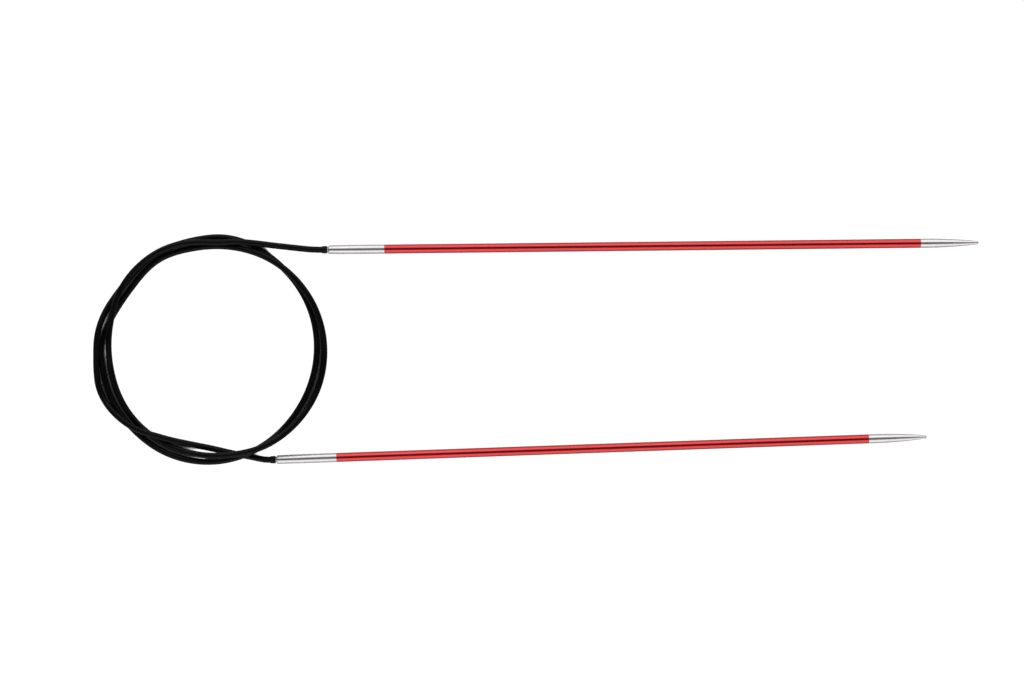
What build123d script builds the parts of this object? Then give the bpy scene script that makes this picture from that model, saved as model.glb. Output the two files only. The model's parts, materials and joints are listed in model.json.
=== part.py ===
"""Fixed circular knitting needle: two hollow red needles with silver ends, joined by one coiled cable.

Millimetres. The object lies on the floor z = 0. The needles point along +X, needle A on the +Y side.
The origin is below the centre of the two needles with their collars. The cable isn't counted.
"""

import os
from math import cos, pi, radians, sin, sqrt, tan

from build123d import *

os.makedirs("parts", exist_ok=True)

# ---- Needle, along its own axis: 0 at the barrel's rear face, towards the tip ----
NEEDLE_D = 1.75
NEEDLE_L = 125.0
TIP_L = 11.2
SHAFT_BORE_D = 1.35
SPIGOT_L = 4.0
SPIGOT_LEAD_IN = 0.15
JOINT_CHAMFER = 0.04

BARREL_REAR_D = 1.65
BARREL_TAPER_L = 4.5
BARREL_EDGE_R = 0.2

OGIVE_L = 10.1
OGIVE_R = 88.0

# ---- Swivel between the barrel and the cable ----
PIN_D = 0.76
PIN_HEAD_D = 1.00
PIN_HEAD_L = 1.0
RUNNING_CLEARANCE = 0.025
END_FLOAT = 0.05
LIP_L = 0.6
SWIVEL_GAP = 0.25
TAIL_D = 0.5
TAIL_L = 0.85

COLLAR_FRONT_D = 1.46
COLLAR_REAR_D = 1.40
COLLAR_L = 1.0
COLLAR_WALL = 0.2
COLLAR_EDGE_R = 0.08

# ---- Cable ----
CABLE_D = 1.2
FLEX_SOCKET_R = 0.65
FLEX_RIM = 0.30

# ---- Layout: barrel rear face centre and the needle's heading ----
# The two needles are alike, except that B has a slightly longer barrel and a shorter shaft.
REAR_A = (-56.892, 19.522)
HEADING_A = 0.62
BARREL_A = 10.8
REAR_B = (-66.792, -20.828)
HEADING_B = 2.0
BARREL_B = 11.5
AXIS_Z = NEEDLE_D / 2

COIL_CENTRE = (-79.50, 0.23)
COIL_R = 22.3
COIL_EYE_CENTRE = (-79.02, 0.76)
COIL_EYE_R = 19.1
COIL_EDGE_R = 0.55

# Centre line of the cable. A needle holds the stretch END, straight for STRAIGHT behind its barrel and
# then bending to the flex point, which is its last point. LEAD runs on from there into the coil.
STRAIGHT_A = 2.70
END_A = [(-62.30, 19.76, 0.90), (-64.98, 20.06, 0.98)]
LEAD_A = [(-67.60, 20.33, 1.25), (-71.30, 20.80, 1.45), (-74.85, 21.06, 0.97)]
STRAIGHT_B = 2.05
END_B = [(-70.40, -20.62, 0.76)]
LEAD_B = [(-72.30, -20.21, 0.66), (-75.30, -19.66, 0.62), (-79.30, -18.84, 0.62), (-83.06, -18.13, 0.62)]


def turned(points, arcs=()):
    """A solid of revolution about X. points are (x, r) corners. arcs maps a corner's index to the
    tangent with which a circular arc leaves it for the next corner."""
    with BuildLine() as outline:
        for i, start in enumerate(points):
            end = points[(i + 1) % len(points)]
            if i in arcs:
                TangentArc(start, end, tangent=arcs[i])
            else:
                Line(start, end)
    profile = make_face(outline.line)
    return revolve(profile, axis=Axis.X, revolution_arc=360)


def shaft(barrel_l):
    """The hollow red middle of a needle."""
    front = NEEDLE_L - TIP_L
    r, bore, c = NEEDLE_D / 2, SHAFT_BORE_D / 2, JOINT_CHAMFER
    return turned(
        [
            (barrel_l, bore),
            (barrel_l, r - c),
            (barrel_l + c, r),
            (front - c, r),
            (front, r - c),
            (front, bore),
        ]
    )


def tip():
    """The solid silver point: a short cylinder, a long ogive, a round nose and a pressed spigot."""
    rear = NEEDLE_L - TIP_L
    r, spigot, c = NEEDLE_D / 2, SHAFT_BORE_D / 2, JOINT_CHAMFER
    ogive = NEEDLE_L - OGIVE_L
    nose_r = (2 * OGIVE_R * r - r**2 - OGIVE_L**2) / (2 * (OGIVE_R - OGIVE_L))
    s = (OGIVE_L - nose_r) / (OGIVE_R - nose_r)
    k = sqrt(1 - s**2)
    print("nose radius", round(nose_r, 4))
    return turned(
        [
            (rear - SPIGOT_L, 0),
            (rear - SPIGOT_L, spigot - SPIGOT_LEAD_IN),
            (rear - SPIGOT_L + SPIGOT_LEAD_IN, spigot),
            (rear, spigot),
            (rear, r - c),
            (rear + c, r),
            (ogive, r),
            (NEEDLE_L - nose_r + nose_r * s, nose_r * k),
            (NEEDLE_L, 0),
        ],
        {6: (1, 0), 7: (k, -s)},
    )


def barrel(barrel_l):
    """The silver join: a spigot into the shaft, and a chamber that holds the swivel pin's head."""
    r, spigot, c = NEEDLE_D / 2, SHAFT_BORE_D / 2, JOINT_CHAMFER
    chamber = PIN_HEAD_D / 2 + RUNNING_CLEARANCE
    lip = PIN_D / 2 + RUNNING_CLEARANCE
    rear_r = BARREL_REAR_D / 2
    front = barrel_l + SPIGOT_L
    return turned(
        [
            (0, lip),
            (0, rear_r - BARREL_EDGE_R),
            (BARREL_EDGE_R, rear_r),
            (BARREL_TAPER_L, r),
            (barrel_l - c, r),
            (barrel_l, r - c),
            (barrel_l, spigot),
            (front - SPIGOT_LEAD_IN, spigot),
            (front, spigot - SPIGOT_LEAD_IN / 2),
            (front, chamber),
            (LIP_L, chamber),
            (LIP_L, lip),
        ],
        {1: (0, 1)},
    )


def pin():
    """The swivel pin: a head inside the barrel, a shank through its lip, a tail in the cable."""
    head = LIP_L + END_FLOAT
    wall = -SWIVEL_GAP - COLLAR_WALL
    return turned(
        [
            (wall - TAIL_L, 0),
            (wall - TAIL_L, TAIL_D / 2),
            (wall, TAIL_D / 2),
            (wall, PIN_D / 2),
            (head, PIN_D / 2),
            (head, PIN_HEAD_D / 2),
            (head + PIN_HEAD_L - 0.1, PIN_HEAD_D / 2),
            (head + PIN_HEAD_L, PIN_HEAD_D / 2 - 0.1),
            (head + PIN_HEAD_L, 0),
        ]
    )


def collar():
    """The short black ferrule: a slightly conical sleeve over the cable's end, closed in front around
    the pin."""
    front, rear = -SWIVEL_GAP, -SWIVEL_GAP - COLLAR_L
    wall = front - COLLAR_WALL
    r, r_rear, e = COLLAR_FRONT_D / 2, COLLAR_REAR_D / 2, COLLAR_EDGE_R
    return turned(
        [
            (rear, CABLE_D / 2),
            (rear, r_rear - e),
            (rear + e, r_rear),
            (front - e, r),
            (front, r - e),
            (front, PIN_D / 2),
            (wall, PIN_D / 2),
            (wall, CABLE_D / 2),
        ],
        {1: (0, 1), 3: (1, 0)},
    )


def on_needle(solid, rear, heading):
    """Moves a solid built along X onto a needle's own axis in the layout."""
    return Pos(rear[0], rear[1], AXIS_Z) * Rot(0, 0, heading) * solid


def behind(rear, heading, distance):
    """The point on a needle's axis that far behind its barrel."""
    a = radians(heading)
    return Vector(rear[0] - distance * cos(a), rear[1] - distance * sin(a), AXIS_Z)


def tube(name, corners):
    """A cable tube along straight runs joined by tangent arcs."""
    radii = []
    for before, at, after in zip(corners, corners[1:], corners[2:]):
        run_in, run_out = at - before, after - at
        turn = radians(run_in.get_angle(run_out))
        radii.append(0.45 * min(run_in.length, run_out.length) / tan(turn / 2))
    line = FilletPolyline(*corners, radius=radii)
    section = Plane(line @ 0, z_dir=line % 0) * Circle(CABLE_D / 2)
    solid = sweep(section, path=line)
    expected = pi * CABLE_D**2 / 4 * line.length
    print(name, "radii", [round(r, 1) for r in radii], "length", round(line.length, 2))
    print(name, "volume", round(solid.volume, 3), "section x length", round(expected, 3))
    return solid


def cable_end(name, rear, heading, straight, points):
    """The cable's end, from inside the collar to a cup around the flex point. The pin's tail is in it."""
    front = SWIVEL_GAP + COLLAR_WALL
    corners = [behind(rear, heading, front), behind(rear, heading, straight)]
    corners += [Vector(*p) for p in points]
    flex = corners[-1]
    back = (corners[-2] - flex).normalized()
    corners[-1] = flex + back * FLEX_RIM
    bore = Pos(-front - TAIL_L / 2, 0, 0) * Rot(0, 90, 0) * Cylinder(TAIL_D / 2, TAIL_L)
    cup = Plane(flex, z_dir=back) * Sphere(FLEX_SOCKET_R)
    return tube(name, corners) - on_needle(bore, rear, heading) - cup


def lead(name, flex, points):
    """The cable from a flex point into the coil, with a ball at the flex point."""
    corners = [Vector(*flex)] + [Vector(*p) for p in points]
    return tube(name, corners) + Pos(*flex) * Sphere(CABLE_D / 2)


def coil():
    """The outer shape of the laid coil: a flat ring, one cable high, with its eye slightly off centre."""
    disc = Pos(*COIL_CENTRE, CABLE_D / 2) * Cylinder(COIL_R, CABLE_D)
    eye = Pos(*COIL_EYE_CENTRE, CABLE_D / 2) * Cylinder(COIL_EYE_R, 2 * CABLE_D)
    ring = disc - eye
    rims = ring.edges().filter_by(GeomType.CIRCLE)
    return fillet(rims, radius=COIL_EDGE_R)


pieces = {"cable_coil": coil()}
needles = (
    ("_a", REAR_A, HEADING_A, BARREL_A, STRAIGHT_A, END_A, LEAD_A),
    ("_b", REAR_B, HEADING_B, BARREL_B, STRAIGHT_B, END_B, LEAD_B),
)
for side, rear, heading, barrel_l, straight, end, run in needles:
    along = {
        "needle_tip": tip(),
        "needle_shaft": shaft(barrel_l),
        "join_barrel": barrel(barrel_l),
        "swivel_pin": pin(),
        "cable_collar": collar(),
    }
    for name, solid in along.items():
        pieces[name + side] = on_needle(solid, rear, heading)
    pieces["cable_end" + side] = cable_end("cable_end" + side, rear, heading, straight, end)
    pieces["cable_lead" + side] = lead("cable_lead" + side, end[-1], run)

for node, solid in pieces.items():
    export_step(solid, "parts/" + node + ".step")

free_cable = ("cable_coil", "cable_lead_a", "cable_lead_b", "cable_end_a", "cable_end_b")
box = Compound(children=[s for n, s in pieces.items() if n not in free_cable]).bounding_box()
print("needles and collars", box.min, box.max, "centre", box.center())
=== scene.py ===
"""Circular knitting needle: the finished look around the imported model. Metres, +Z up, floor at z = 0."""

import json
from math import atan2, cos, pi, radians, sin, sqrt

import bmesh
import bpy
from mathutils import Matrix, Vector

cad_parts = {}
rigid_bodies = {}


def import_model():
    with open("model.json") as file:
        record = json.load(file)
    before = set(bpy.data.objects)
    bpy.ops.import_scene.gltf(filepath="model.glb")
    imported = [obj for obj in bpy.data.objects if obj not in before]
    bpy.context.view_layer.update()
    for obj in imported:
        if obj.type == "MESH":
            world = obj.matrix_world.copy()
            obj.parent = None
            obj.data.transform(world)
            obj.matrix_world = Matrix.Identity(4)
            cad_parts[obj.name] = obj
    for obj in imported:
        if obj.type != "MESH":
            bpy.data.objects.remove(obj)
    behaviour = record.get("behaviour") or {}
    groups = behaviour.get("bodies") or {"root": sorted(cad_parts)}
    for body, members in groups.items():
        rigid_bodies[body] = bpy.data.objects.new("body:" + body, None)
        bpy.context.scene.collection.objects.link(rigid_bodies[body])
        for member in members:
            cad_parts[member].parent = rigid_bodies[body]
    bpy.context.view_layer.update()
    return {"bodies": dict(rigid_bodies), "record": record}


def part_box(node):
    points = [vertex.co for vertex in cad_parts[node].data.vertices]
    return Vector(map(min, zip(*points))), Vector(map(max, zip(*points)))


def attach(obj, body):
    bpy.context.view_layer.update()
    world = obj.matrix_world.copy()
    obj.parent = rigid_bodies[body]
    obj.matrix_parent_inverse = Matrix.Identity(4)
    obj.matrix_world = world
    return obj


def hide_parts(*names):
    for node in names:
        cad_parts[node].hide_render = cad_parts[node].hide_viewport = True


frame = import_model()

MM = 0.001

# ---- Needle, in millimetres along its own axis: 0 at the barrel's rear face, towards the tip ----
NEEDLE_R = 0.875
NEEDLE_L = 125.0
BARREL_L = {"a": 10.8, "b": 11.5}
TIP_L = 11.2
BORE_R = 0.675
JOINT_CHAMFER = 0.04
BARREL_REAR_R = 0.825
BARREL_TAPER_L = 4.5
BARREL_EDGE_R = 0.2
LIP_BORE_R = 0.405
OGIVE_L = 10.1
OGIVE_R = 88.0
PIN_R = 0.38
PIN_FRONT = 1.6
PIN_HOLE_DEPTH = 2.0
SWIVEL_GAP = 0.25
COLLAR_FRONT_R = 0.73
COLLAR_REAR_R = 0.70
COLLAR_L = 1.0
COLLAR_EDGE_R = 0.08
MOUNT_MIDDLE = 59.7
SEGMENTS = 72

# ---- Cable, in millimetres ----
CABLE_D = 1.2
FLOOR_Z = 0.6
COIL_STEP = 8

# The cable's points at each end, from its straight stretch behind the barrel to the coil.
STRAIGHT_A = 2.70
ROUTE_A = [
    (-62.30, 19.76, 0.90),
    (-64.98, 20.06, 0.98),
    (-67.60, 20.33, 1.30),
    (-71.30, 20.80, 1.75),
    (-74.85, 21.06, 1.85),
]
STRAIGHT_B = 2.05
ROUTE_B = [
    (-70.40, -20.62, 0.76),
    (-72.30, -20.21, 0.66),
    (-75.30, -19.66, 0.62),
    (-79.30, -18.70, 0.62),
    (-83.06, -17.97, 0.62),
]
COLLAR_BACK = 0.45

# How far the points near each flex point follow the collar: (share, points counted from the collar).
BEND = {"a": [(1.0, [0, 1]), (0.85, [2]), (0.15, [4])], "b": [(1.0, [0, 1]), (0.15, [3])]}

# The coil about its own centre: (angle in degrees, radius), counter-clockwise from needle A's end. The
# strand wanders between these, in and out across its other turns.
COIL_START, COIL_END = 86, 973
WANDER = [
    (77, 21.3), (87, 20.6), (100, 21.0), (116, 21.35), (144, 20.85), (165, 19.85), (185, 19.55),
    (220, 19.95), (260, 20.15), (283, 20.5), (300, 21.2), (335, 21.8), (360, 21.8), (380, 21.65),
    (400, 21.25), (418, 20.8), (438, 20.2), (460, 19.85), (480, 20.1), (503, 19.4), (521, 20.0),
    (533, 20.95), (543, 21.25), (551, 21.1), (562, 21.3), (586, 21.35), (605, 21.6), (625, 21.55),
    (657, 20.98), (680, 20.4), (700, 20.25), (720, 20.35), (740, 20.6), (770, 21.0), (800, 21.85),
    (820, 21.35), (842, 21.3), (864, 20.9), (882, 21.65), (894, 21.95), (904, 21.95), (911, 22.35),
    (922, 22.87), (942, 21.35), (950, 20.45), (960, 19.25), (979, 18.35),
]

# Height of the strand over the floor in cable diameters: (angle, height). It eases from one to the next.
HUMPS = [
    (77, 1.05), (108, 1.0), (174, 1.0), (196, 0.0), (245, 0.0), (280, 2.0), (300, 2.0), (316, 1.1),
    (342, 0.0), (352, 0.0), (388, 1.0), (424, 1.0), (446, 0.0), (620, 0.0), (645, 1.0), (652, 1.0),
    (674, 0.0), (870, 0.0), (892, 0.85), (904, 0.85), (916, 0.0), (926, 0.1), (938, 1.0),
    (957, 1.0), (975, 0.0), (980, 0.0),
]

# ---- Camera: straight down ----
CAMERA_OVER = (-21.6, 2.16)
VIEW_WIDTH = 196.9
LENS, SENSOR = 100.0, 36.0

# ---- Light: how bright the boxes are at their sides and ends, and the opening above, in degrees ----
BOX_SIDES, BOX_ENDS = 1.34, 0.20
OPENING_EDGE, OPENING_CORE, OPENING_LEVEL = 38, 19, 0.08
BOX_BLEND = 0.30
BALANCE = (0.93, 1.05)

# ---- Floor: its half width in metres, how far below it the bounce sheet lies, and the painted shade of the gaps ----
FLOOR_REACH = 3.0
BOUNCE_BELOW = 0.02
# Painted shade in the gaps: how far the occlusion looks and with how many samples, the band it fades over,
# and the floor's glow from dark to full.
PAINTED_SHADE_REACH, PAINTED_SHADE_SAMPLES = 1.6, 32
PAINTED_SHADE_BAND, FLOOR_GLOW_AND_PAINTED_SHADE = (0.35, 0.45), (0.02, 1.05)

# The middle of a noise's range, where nearly all of its values lie.
NOISE_BAND = (0.3, 0.7)


# ============================ Camera and light ============================


def add_camera():
    """A long lens looking straight down on the middle of the layout."""
    data = bpy.data.cameras.new("camera")
    data.lens = LENS
    data.sensor_width = SENSOR
    camera = bpy.data.objects.new("camera", data)
    distance = VIEW_WIDTH * LENS / SENSOR
    camera.location = (CAMERA_OVER[0] * MM, CAMERA_OVER[1] * MM, (NEEDLE_R + distance) * MM)
    data.clip_start = 0.01
    data.clip_end = 20.0
    bpy.context.scene.collection.objects.link(camera)
    bpy.context.scene.camera = camera


def mapped(nodes, links, value, start, end, low, high):
    """value from start..end, eased onto low..high."""
    node = nodes.new("ShaderNodeMapRange")
    node.interpolation_type = "SMOOTHSTEP"
    node.inputs["From Min"].default_value = start
    node.inputs["From Max"].default_value = end
    node.inputs["To Min"].default_value = low
    node.inputs["To Max"].default_value = high
    links.new(value, node.inputs["Value"])
    return node.outputs["Result"]


def math_node(nodes, links, operation, *values):
    """The result of a sum on node outputs or numbers."""
    node = nodes.new("ShaderNodeMath")
    node.operation = operation
    for socket, value in zip(node.inputs, values):
        if isinstance(value, (int, float)):
            socket.default_value = value
        else:
            links.new(value, socket)
    return node.outputs[0]


def add_light():
    """Two long soft boxes, along both sides of the needles, and a dark opening straight above."""
    world = bpy.data.worlds.new("soft_boxes")
    bpy.context.scene.world = world
    world.use_nodes = True
    nodes, links = world.node_tree.nodes, world.node_tree.links
    coordinates = nodes.new("ShaderNodeTexCoord")
    split = nodes.new("ShaderNodeSeparateXYZ")
    links.new(coordinates.outputs["Generated"], split.inputs[0])
    x, y, z = (split.outputs[axis] for axis in "XYZ")
    aside = math_node(nodes, links, "ABSOLUTE", y)
    along = math_node(nodes, links, "ABSOLUTE", x)
    sideways = math_node(nodes, links, "SUBTRACT", aside, along)
    boxes = mapped(nodes, links, sideways, -BOX_BLEND, BOX_BLEND, BOX_ENDS, BOX_SIDES)
    edge, core = cos(radians(OPENING_EDGE)), cos(radians(OPENING_CORE))
    opening = mapped(nodes, links, z, edge, core, 1.0, OPENING_LEVEL)
    balance = mapped(nodes, links, y, -1.0, 1.0, *BALANCE)
    light = math_node(nodes, links, "MULTIPLY", boxes, opening)
    light = math_node(nodes, links, "MULTIPLY", light, balance)
    background = nodes["Background"]
    background.inputs["Color"].default_value = (1, 1, 1, 1)
    links.new(light, background.inputs["Strength"])


def stage_plane(name, z):
    """A plain horizontal sheet, far larger than the object: (object, shader, nodes, links)."""
    reach = FLOOR_REACH
    corners = [(-reach, -reach, z), (reach, -reach, z), (reach, reach, z), (-reach, reach, z)]
    mesh = bpy.data.meshes.new(name)
    mesh.from_pydata(corners, [], [(0, 1, 2, 3)])
    plane = bpy.data.objects.new(name, mesh)
    bpy.context.scene.collection.objects.link(plane)
    material, bsdf, nodes, links = new_material(name)
    mesh.materials.append(material)
    return plane, bsdf, nodes, links


def add_floor():
    """A white floor that glows evenly, with painted shade that darkens it only in the narrow gaps between
    strands, and the same floor as the object's own reflections and bounced light see it, which is plain matt
    white."""
    seen, bsdf, nodes, links = stage_plane("floor_seen_painted_shade", 0.0)
    bsdf.inputs["Base Color"].default_value = (0.0, 0.0, 0.0, 1)
    bsdf.inputs["Specular IOR Level"].default_value = 0.0
    bsdf.inputs["Emission Color"].default_value = (1, 1, 1, 1)
    # Painted shade: the floor's glow fades to dark where strands stand close around it, in the narrow gaps
    # between them.
    painted_gap_shade = nodes.new("ShaderNodeAmbientOcclusion")
    painted_gap_shade.samples = PAINTED_SHADE_SAMPLES
    painted_gap_shade.inputs["Distance"].default_value = PAINTED_SHADE_REACH * MM
    glow_with_painted_shade = mapped(nodes, links, painted_gap_shade.outputs["AO"], *PAINTED_SHADE_BAND, *FLOOR_GLOW_AND_PAINTED_SHADE)
    links.new(glow_with_painted_shade, bsdf.inputs["Emission Strength"])
    seen.visible_diffuse = False
    seen.visible_glossy = False
    seen.visible_shadow = False
    bounce, bsdf, _, _ = stage_plane("floor_bounce", -BOUNCE_BELOW * MM)
    bsdf.inputs["Base Color"].default_value = (0.9, 0.9, 0.9, 1)
    bsdf.inputs["Roughness"].default_value = 0.9
    bounce.visible_camera = False


# ============================ Materials ============================


def new_material(name):
    """A material with a Principled shader: (material, shader, nodes, links)."""
    material = bpy.data.materials.new(name)
    material.use_nodes = True
    nodes, links = material.node_tree.nodes, material.node_tree.links
    return material, nodes["Principled BSDF"], nodes, links


def noise(nodes, links, source, scale, stretch=(1, 1, 1), detail=3.0):
    """Noise on the given coordinates. A small stretch draws it out along that axis."""
    mapping = nodes.new("ShaderNodeMapping")
    mapping.inputs["Scale"].default_value = stretch
    texture = nodes.new("ShaderNodeTexNoise")
    texture.inputs["Scale"].default_value = scale
    texture.inputs["Detail"].default_value = detail
    links.new(source.outputs["Object"], mapping.inputs["Vector"])
    links.new(mapping.outputs["Vector"], texture.inputs["Vector"])
    return texture.outputs["Fac"]


def spread(nodes, links, value, low, high):
    """Maps a noise's middle band onto low..high."""
    node = nodes.new("ShaderNodeMapRange")
    node.inputs["From Min"].default_value = NOISE_BAND[0]
    node.inputs["From Max"].default_value = NOISE_BAND[1]
    node.inputs["To Min"].default_value = low
    node.inputs["To Max"].default_value = high
    links.new(value, node.inputs["Value"])
    return node.outputs["Result"]


def tint(nodes, links, value, dark, light):
    """A colour that runs from dark to light with a noise."""
    ramp = nodes.new("ShaderNodeValToRGB")
    first, last = ramp.color_ramp.elements
    first.position, last.position = NOISE_BAND
    first.color, last.color = (*dark, 1), (*light, 1)
    links.new(value, ramp.inputs[0])
    return ramp.outputs["Color"]


def bump(nodes, links, value, bsdf, distance):
    """Fine relief of that depth in metres."""
    node = nodes.new("ShaderNodeBump")
    node.inputs["Distance"].default_value = distance
    node.inputs["Strength"].default_value = 1.0
    links.new(value, node.inputs["Height"])
    links.new(node.outputs["Normal"], bsdf.inputs["Normal"])


def anodised_red():
    """Red anodised tube: drawn lines along it, a slight mottle in the dye and a clear sealed surface."""
    material, bsdf, nodes, links = new_material("anodised_red")
    source = nodes.new("ShaderNodeTexCoord")
    lines = noise(nodes, links, source, 9000, (0.012, 1, 1))
    dye = noise(nodes, links, source, 180, (0.3, 1, 1))
    colour = tint(nodes, links, dye, (0.61, 0.008, 0.011), (0.72, 0.013, 0.017))
    links.new(colour, bsdf.inputs["Base Color"])
    links.new(spread(nodes, links, lines, 0.22, 0.34), bsdf.inputs["Roughness"])
    bsdf.inputs["Metallic"].default_value = 1.0
    bsdf.inputs["Coat Weight"].default_value = 1.0
    bsdf.inputs["Coat Roughness"].default_value = 0.14
    bsdf.inputs["Coat IOR"].default_value = 1.6
    bsdf.inputs["Specular Tint"].default_value = (0.30, 0.12, 0.12, 1)
    bump(nodes, links, lines, bsdf, 0.0000025)
    return material


def turned_metal(name, dark, light, rough, rings):
    """Turned metal: fine lathe rings round the axis, and a slight unevenness in the polish."""
    material, bsdf, nodes, links = new_material(name)
    source = nodes.new("ShaderNodeTexCoord")
    marks = noise(nodes, links, source, rings, (1, 0.004, 0.004))
    cloud = noise(nodes, links, source, 700)
    links.new(tint(nodes, links, cloud, dark, light), bsdf.inputs["Base Color"])
    links.new(spread(nodes, links, marks, *rough), bsdf.inputs["Roughness"])
    bsdf.inputs["Metallic"].default_value = 1.0
    bsdf.inputs["Specular Tint"].default_value = (0.84, 0.84, 0.84, 1)
    bump(nodes, links, marks, bsdf, 0.0000002)
    return material


def black_cable():
    """Smooth extruded nylon, nearly black, with a soft gloss that varies a little along it."""
    material, bsdf, nodes, links = new_material("black_cable")
    source = nodes.new("ShaderNodeTexCoord")
    grain = noise(nodes, links, source, 5200, detail=4.0)
    cloud = noise(nodes, links, source, 260)
    colour = tint(nodes, links, cloud, (0.0014, 0.0014, 0.0016), (0.0032, 0.0032, 0.0036))
    links.new(colour, bsdf.inputs["Base Color"])
    links.new(spread(nodes, links, cloud, 0.30, 0.42), bsdf.inputs["Roughness"])
    bsdf.inputs["Specular IOR Level"].default_value = 0.12
    bump(nodes, links, grain, bsdf, 0.000004)
    return material


def black_collar():
    """Fine matt black moulding."""
    material, bsdf, nodes, links = new_material("black_collar")
    source = nodes.new("ShaderNodeTexCoord")
    grain = noise(nodes, links, source, 7500, detail=4.0)
    colour = tint(nodes, links, grain, (0.002, 0.002, 0.0022), (0.005, 0.005, 0.0055))
    links.new(colour, bsdf.inputs["Base Color"])
    links.new(spread(nodes, links, grain, 0.44, 0.60), bsdf.inputs["Roughness"])
    bsdf.inputs["Specular IOR Level"].default_value = 0.15
    bump(nodes, links, grain, bsdf, 0.000008)
    return material


# ============================ Turned pieces ============================


def arc(start, end, tangent, steps):
    """Points of the circular arc that leaves start along tangent and reaches end, without start."""
    chord = (end[0] - start[0], end[1] - start[1])
    length = sqrt(chord[0] ** 2 + chord[1] ** 2)
    size = sqrt(tangent[0] ** 2 + tangent[1] ** 2)
    across = tangent[0] * chord[1] - tangent[1] * chord[0]
    forward = tangent[0] * chord[0] + tangent[1] * chord[1]
    half = atan2(across, forward)
    radius = length / (2 * sin(half))
    normal = (-tangent[1] / size, tangent[0] / size)
    centre = (start[0] + radius * normal[0], start[1] + radius * normal[1])
    first = atan2(start[1] - centre[1], start[0] - centre[0])
    return [
        (
            centre[0] + abs(radius) * cos(first + 2 * half * i / steps),
            centre[1] + abs(radius) * sin(first + 2 * half * i / steps),
        )
        for i in range(1, steps + 1)
    ]


def outline_of(corners, arcs):
    """The profile with the arcs drawn in. arcs maps a corner's index to (tangent, steps)."""
    points = [corners[0]]
    for i, (start, end) in enumerate(zip(corners, corners[1:])):
        if i in arcs:
            points += arc(start, end, *arcs[i])
        else:
            points.append(end)
    return points


def lathe(name, corners, arcs, closed, material, place, body, replaced):
    """A turned piece: the profile's (x, r) points in millimetres, revolved about the needle's axis."""
    points = outline_of(corners, arcs)
    mesh = bpy.data.meshes.new(name)
    build = bmesh.new()
    rings = []
    for x, r in points:
        if r < 1e-6:
            rings.append([build.verts.new((x * MM, 0, 0))])
            continue
        turns = [2 * pi * k / SEGMENTS for k in range(SEGMENTS)]
        rings.append([build.verts.new((x * MM, r * cos(t) * MM, r * sin(t) * MM)) for t in turns])
    pairs = list(zip(rings, rings[1:]))
    if closed:
        pairs.append((rings[-1], rings[0]))
    for one, two in pairs:
        for k in range(SEGMENTS):
            after = (k + 1) % SEGMENTS
            loop = [one[k % len(one)], two[k % len(two)], two[after % len(two)], one[after % len(one)]]
            corners_used = list(dict.fromkeys(loop))
            if len(corners_used) > 2:
                build.faces.new(corners_used)
    bmesh.ops.recalc_face_normals(build, faces=build.faces)
    for face in build.faces:
        face.smooth = True
    build.to_mesh(mesh)
    build.free()
    mesh.set_sharp_from_angle(angle=radians(32))
    piece = bpy.data.objects.new(name, mesh)
    bpy.context.scene.collection.objects.link(piece)
    piece.matrix_world = place
    mesh.materials.append(material)
    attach(piece, body)
    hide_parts(replaced)


def place_of(side):
    """The needle's own frame: its mount gives the axis, and the barrel's rear face is the origin."""
    mount = next(m for m in frame["record"]["mounts"] if m["name"] == "needle_" + side)
    axis = Vector(mount["axis"]).normalized()
    rear = Vector(mount["pos_m"]) - axis * MOUNT_MIDDLE * MM
    return Matrix.Translation(rear) @ Matrix.Rotation(atan2(axis.y, axis.x), 4, "Z")


def add_shaft(side, place, material):
    """The red tube, open at both ends around the spigots."""
    rear, front, c = BARREL_L[side], NEEDLE_L - TIP_L, JOINT_CHAMFER
    corners = [
        (rear, BORE_R), (rear, NEEDLE_R - c), (rear + c, NEEDLE_R),
        (front - c, NEEDLE_R), (front, NEEDLE_R - c), (front, BORE_R),
    ]
    lathe(
        "shaft_" + side, corners, {}, True, material, place,
        "needle_" + side, "needle_shaft_" + side,
    )


def add_tip(side, place, material):
    """The silver point: a short cylinder, a long ogive and a round nose."""
    rear, r, c = NEEDLE_L - TIP_L, NEEDLE_R, JOINT_CHAMFER
    nose_r = (2 * OGIVE_R * r - r**2 - OGIVE_L**2) / (2 * (OGIVE_R - OGIVE_L))
    s = (OGIVE_L - nose_r) / (OGIVE_R - nose_r)
    k = sqrt(1 - s**2)
    corners = [
        (rear, 0), (rear, r - c), (rear + c, r), (NEEDLE_L - OGIVE_L, r),
        (NEEDLE_L - nose_r + nose_r * s, nose_r * k), (NEEDLE_L, 0),
    ]
    arcs = {3: ((1, 0), 28), 4: ((k, -s), 10)}
    lathe(
        "point_" + side, corners, arcs, False, material, place,
        "needle_" + side, "needle_tip_" + side,
    )


def add_barrel(side, place, material):
    """The silver join: a slight taper to a rounded rear edge, with the swivel pin's hole in it."""
    front, c, edge = BARREL_L[side], JOINT_CHAMFER, BARREL_EDGE_R
    corners = [
        (PIN_HOLE_DEPTH, 0), (PIN_HOLE_DEPTH, LIP_BORE_R), (0, LIP_BORE_R),
        (0, BARREL_REAR_R - edge), (edge, BARREL_REAR_R),
        (BARREL_TAPER_L, NEEDLE_R), (front - c, NEEDLE_R), (front, NEEDLE_R - c), (front, 0),
    ]
    arcs = {3: ((0, 1), 6)}
    lathe(
        "barrel_" + side, corners, arcs, False, material, place,
        "needle_" + side, "join_barrel_" + side,
    )


def add_pin(side, place, material):
    """What shows of the swivel pin, between the collar and the barrel."""
    corners = [(-COLLAR_BACK, 0), (-COLLAR_BACK, PIN_R), (PIN_FRONT, PIN_R), (PIN_FRONT, 0)]
    lathe(
        "swivel_" + side, corners, {}, False, material, place,
        "collar_" + side, "swivel_pin_" + side,
    )


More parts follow.
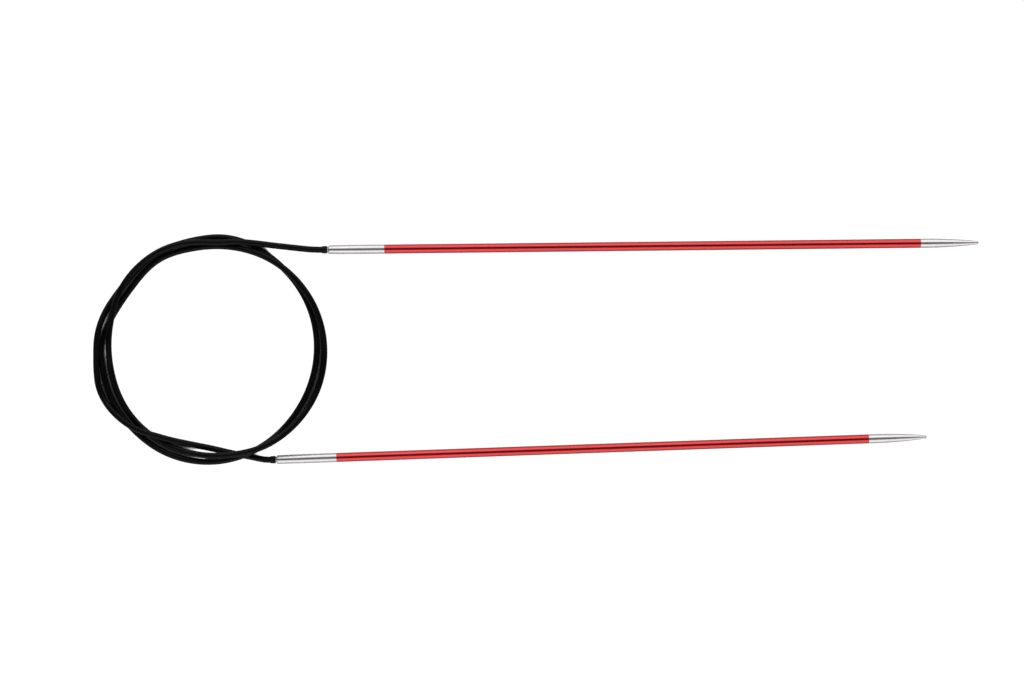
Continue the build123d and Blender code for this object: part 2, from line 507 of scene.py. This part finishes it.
def add_collar(side, place, material):
    """The short black ferrule over the cable's end."""
    front, rear, e = -SWIVEL_GAP, -SWIVEL_GAP - COLLAR_L, COLLAR_EDGE_R
    corners = [
        (rear, CABLE_D / 2), (rear, COLLAR_REAR_R - e), (rear + e, COLLAR_REAR_R),
        (front - e, COLLAR_FRONT_R), (front, COLLAR_FRONT_R - e), (front, PIN_R),
        (-COLLAR_BACK, PIN_R), (-COLLAR_BACK, CABLE_D / 2),
    ]
    arcs = {1: ((0, 1), 5), 3: ((1, 0), 5)}
    lathe(
        "collar_" + side, corners, arcs, True, material, place,
        "collar_" + side, "cable_collar_" + side,
    )


# ============================ Cable ============================


def eased(stops, angle):
    """The value at an angle: a half cosine from each stop to the next, level at both."""
    for (start, low), (end, high) in zip(stops, stops[1:]):
        if angle <= end:
            t = max(0.0, (angle - start) / (end - start))
            return low + (high - low) * (1 - cos(pi * t)) / 2
    return stops[-1][1]


def flowing(stops, angle):
    """The value at an angle on a smooth curve through the stops."""
    for i in range(len(stops) - 1):
        if angle <= stops[i + 1][0] or i == len(stops) - 2:
            break
    (x0, y0), (x1, y1) = stops[i], stops[i + 1]
    before, after = stops[max(i - 1, 0)], stops[min(i + 2, len(stops) - 1)]
    slope_in = (y1 - before[1]) / (x1 - before[0])
    slope_out = (after[1] - y0) / (after[0] - x0)
    span = x1 - x0
    t = (angle - x0) / span
    return (
        (2 * t**3 - 3 * t**2 + 1) * y0 + (t**3 - 2 * t**2 + t) * span * slope_in
        + (3 * t**2 - 2 * t**3) * y1 + (t**3 - t**2) * span * slope_out
    )


def coil_points():
    """The coil's turns, as points of the cable's own line, in millimetres."""
    low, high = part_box("cable_coil")
    centre = (low + high) / 2 / MM
    outside = 1 / cos(radians(COIL_STEP / 2))
    points = []
    for angle in range(COIL_START, COIL_END, COIL_STEP):
        r = flowing(WANDER, angle) * outside
        z = FLOOR_Z + CABLE_D * eased(HUMPS, angle)
        points.append((centre.x + r * cos(radians(angle)), centre.y + r * sin(radians(angle)), z))
    return points


def collar_points(place, straight):
    """Where the cable starts inside its collar, and the end of its straight stretch, in millimetres."""
    return [tuple((place @ Vector((-d * MM, 0, 0))) / MM) for d in (COLLAR_BACK, straight)]


def bind(cable, side, indices, strength):
    """These points of the cable follow its collar, by that much."""
    hook = cable.modifiers.new("hook_" + side + "_" + str(indices[0]), "HOOK")
    hook.object = frame["bodies"]["collar_" + side]
    hook.strength = strength
    hook.matrix_inverse = hook.object.matrix_world.inverted() @ cable.matrix_world
    hook.vertex_indices_set(indices)


def add_cable(places, material):
    """The whole cable, from collar to collar, as one smooth line."""
    route = collar_points(places["a"], STRAIGHT_A) + ROUTE_A + coil_points()
    route += ROUTE_B[::-1] + collar_points(places["b"], STRAIGHT_B)[::-1]
    data = bpy.data.curves.new("cable", "CURVE")
    data.dimensions = "3D"
    data.bevel_depth = 1.0
    data.bevel_resolution = 8
    data.resolution_u = 6
    line = data.splines.new("NURBS")
    line.points.add(len(route) - 1)
    for point, (x, y, z) in zip(line.points, route):
        point.co = (x * MM, y * MM, z * MM, 1)
        point.radius = CABLE_D / 2 * MM
    line.order_u = 3
    line.use_endpoint_u = True
    line.use_smooth = True
    data.materials.append(material)
    cable = bpy.data.objects.new("cable", data)
    bpy.context.scene.collection.objects.link(cable)
    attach(cable, "cable")
    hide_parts("cable_coil", "cable_lead_a", "cable_lead_b", "cable_end_a", "cable_end_b")
    bpy.context.view_layer.update()
    last = len(route) - 1
    for side, at in (("a", lambda i: i), ("b", lambda i: last - i)):
        for strength, points in BEND[side]:
            bind(cable, side, [at(i) for i in points], strength)


# ============================ The object ============================

bpy.context.scene.view_settings.view_transform = "Standard"
add_camera()
add_light()
add_floor()

places = {side: place_of(side) for side in "ab"}
add_cable(places, black_cable())

red = anodised_red()
silver = turned_metal("bare_aluminium", (0.69, 0.665, 0.67), (0.74, 0.715, 0.72), (0.27, 0.32), 8000)
steel = turned_metal("steel_pin", (0.42, 0.42, 0.44), (0.52, 0.52, 0.54), (0.20, 0.32), 11000)
matt = black_collar()
for side, place in places.items():
    add_shaft(side, place, red)
    add_tip(side, place, silver)
    add_barrel(side, place, silver)
    add_pin(side, place, steel)
    add_collar(side, place, matt)
